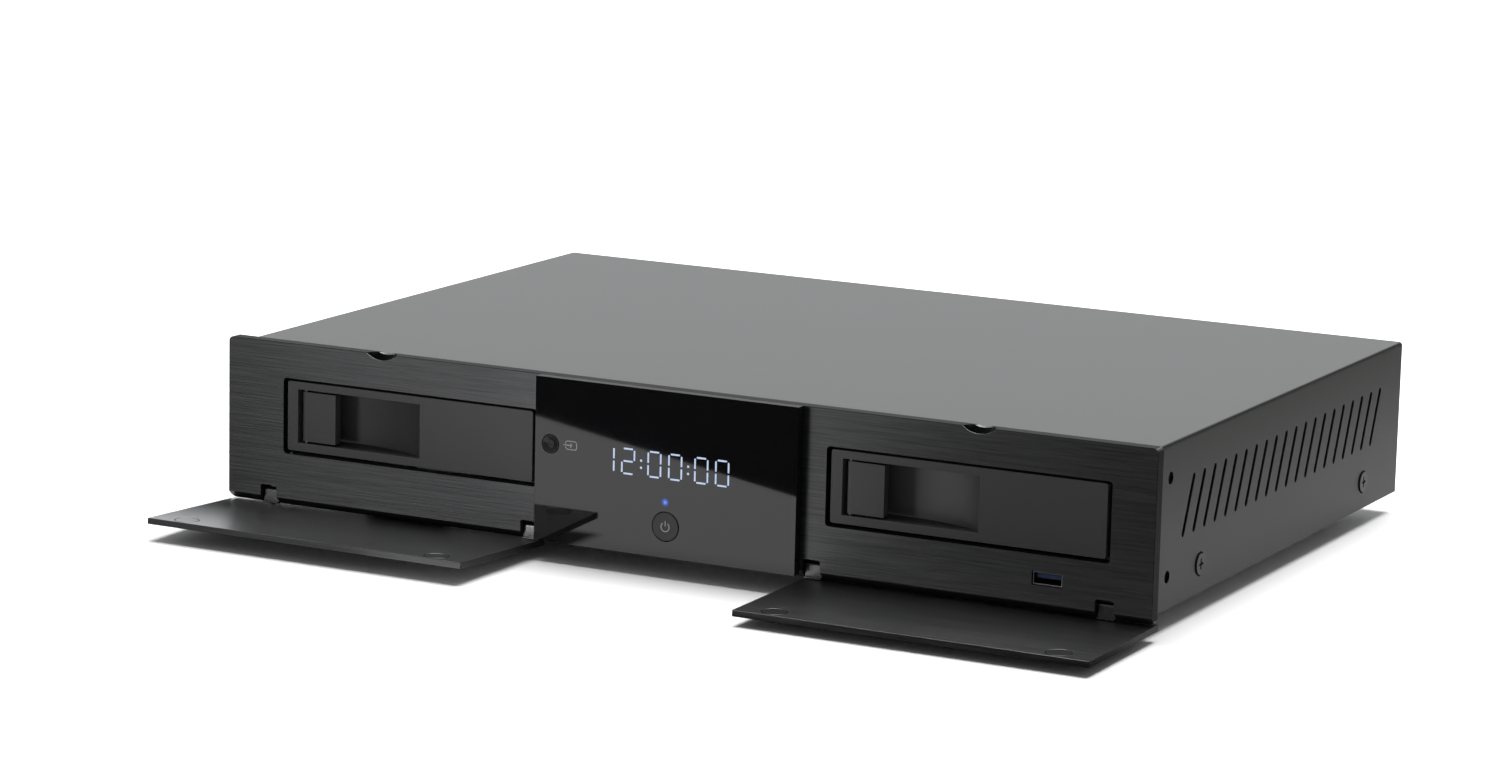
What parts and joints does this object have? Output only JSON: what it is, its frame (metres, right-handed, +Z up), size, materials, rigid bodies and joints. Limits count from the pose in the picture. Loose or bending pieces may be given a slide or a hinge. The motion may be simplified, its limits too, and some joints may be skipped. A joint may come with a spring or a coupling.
{
  "type": "media player with hard drive trays",
  "caption": "Full-width media player: brushed front plate, gloss display panel, drop-down doors open in front of pull-out hard drive trays, slotted steel case on round feet.",
  "frame": {"origin": "on the floor under the feet, in the middle of the whole object's width and depth with both doors open", "axes": "+X to the right of someone facing the front, -Y is the front, +Z up"},
  "size_m": [0.43, 0.3584, 0.0785],
  "materials": {
    "brushed_plate": "brushed, dark anodised",
    "brushed_door": "brushed, dark anodised",
    "gloss_panel": "gloss",
    "display_glass": "gloss",
    "circuit_board": "satin",
    "light_guide": "gloss",
    "button_plastic": "satin",
    "clip_steel": "blackened",
    "magnet": "black nickel plated",
    "pin_steel": "polished",
    "zinc_sheet": "zinc plated",
    "black_sheet": "satin black",
    "isolator_rubber": "matte",
    "tray_plastic": "fine texture",
    "painted_case": "satin powder coat",
    "screw_steel": "blackened",
    "heat_sink_metal": "as extruded",
    "foot_rubber": "matte",
    "socket_metal": "plated",
    "socket_plastic": "satin"
  },
  "bodies": {
    "player": {"front_plate": "brushed_plate", "display_window": "gloss_panel", "display_module": "display_glass", "control_board": "circuit_board", "power_light": "light_guide", "left_door_outer_pin": "pin_steel", "left_door_inner_pin": "pin_steel", "right_door_outer_pin": "pin_steel", "right_door_inner_pin": "pin_steel", "left_rack_cage": "black_sheet", "right_rack_cage": "black_sheet", "left_isolator_front_left": "isolator_rubber", "left_isolator_front_right": "isolator_rubber", "left_isolator_rear_left": "isolator_rubber", "left_isolator_rear_right": "isolator_rubber", "right_isolator_front_left": "isolator_rubber", "right_isolator_front_right": "isolator_rubber", "right_isolator_rear_left": "isolator_rubber", "right_isolator_rear_right": "isolator_rubber", "left_backplane": "circuit_board", "right_backplane": "circuit_board", "base": "zinc_sheet", "lid": "painted_case", "rear_panel": "painted_case", "left_side_screw_front": "screw_steel", "left_side_screw_rear": "screw_steel", "right_side_screw_front": "screw_steel", "right_side_screw_rear": "screw_steel", "main_board": "circuit_board", "heat_sink": "heat_sink_metal", "power_supply_board": "circuit_board", "left_front_foot": "foot_rubber", "left_rear_foot": "foot_rubber", "right_front_foot": "foot_rubber", "right_rear_foot": "foot_rubber", "front_usb_socket": "socket_metal", "network_socket": "socket_metal", "usb_socket_pair": "socket_metal", "video_socket": "socket_metal", "audio_sockets": "socket_plastic", "mains_inlet": "socket_plastic"},
    "left_door": {"left_door": "brushed_door", "left_door_outer_clip": "clip_steel", "left_door_inner_clip": "clip_steel", "left_door_outer_magnet": "magnet", "left_door_inner_magnet": "magnet"},
    "right_door": {"right_door": "brushed_door", "right_door_outer_clip": "clip_steel", "right_door_inner_clip": "clip_steel", "right_door_outer_magnet": "magnet", "right_door_inner_magnet": "magnet"},
    "left_tray": {"left_tray": "tray_plastic", "left_lever_pin": "pin_steel"},
    "right_tray": {"right_tray": "tray_plastic", "right_lever_pin": "pin_steel"},
    "left_tray_lever": {"left_tray_lever": "tray_plastic"},
    "right_tray_lever": {"right_tray_lever": "tray_plastic"},
    "power_button": {"power_button": "button_plastic"},
    "input_button": {"input_button": "button_plastic"}
  },
  "joints": [
    {"name": "left_door_hinge", "type": "hinge", "parent": "player", "child": "left_door", "pos_m": [-0.1385, -0.1137, 0.0125], "axis": [1, 0, 0], "range_deg": [-87.4, 0]},
    {"name": "right_door_hinge", "type": "hinge", "parent": "player", "child": "right_door", "pos_m": [0.1385, -0.1137, 0.0125], "axis": [1, 0, 0], "range_deg": [-90.3, 0]},
    {"name": "left_tray_slide", "type": "slide", "parent": "player", "child": "left_tray", "axis": [0, -1, 0], "range_m": [0, 0.14]},
    {"name": "right_tray_slide", "type": "slide", "parent": "player", "child": "right_tray", "axis": [0, -1, 0], "range_m": [0, 0.14]},
    {"name": "left_lever_hinge", "type": "hinge", "parent": "left_tray", "child": "left_tray_lever", "pos_m": [-0.17709, -0.1152, 0.0473], "axis": [0, 0, -1], "range_deg": [0, 70]},
    {"name": "right_lever_hinge", "type": "hinge", "parent": "right_tray", "child": "right_tray_lever", "pos_m": [0.08192, -0.1152, 0.0473], "axis": [0, 0, -1], "range_deg": [0, 70]},
    {"name": "power_button_press", "type": "slide", "parent": "player", "child": "power_button", "axis": [0, 1, 0], "range_m": [0, 0.0008], "stiffness_N_per_m": 500},
    {"name": "input_button_press", "type": "slide", "parent": "player", "child": "input_button", "axis": [0, 1, 0], "range_m": [0, 0.0008], "stiffness_N_per_m": 500}
  ]
}
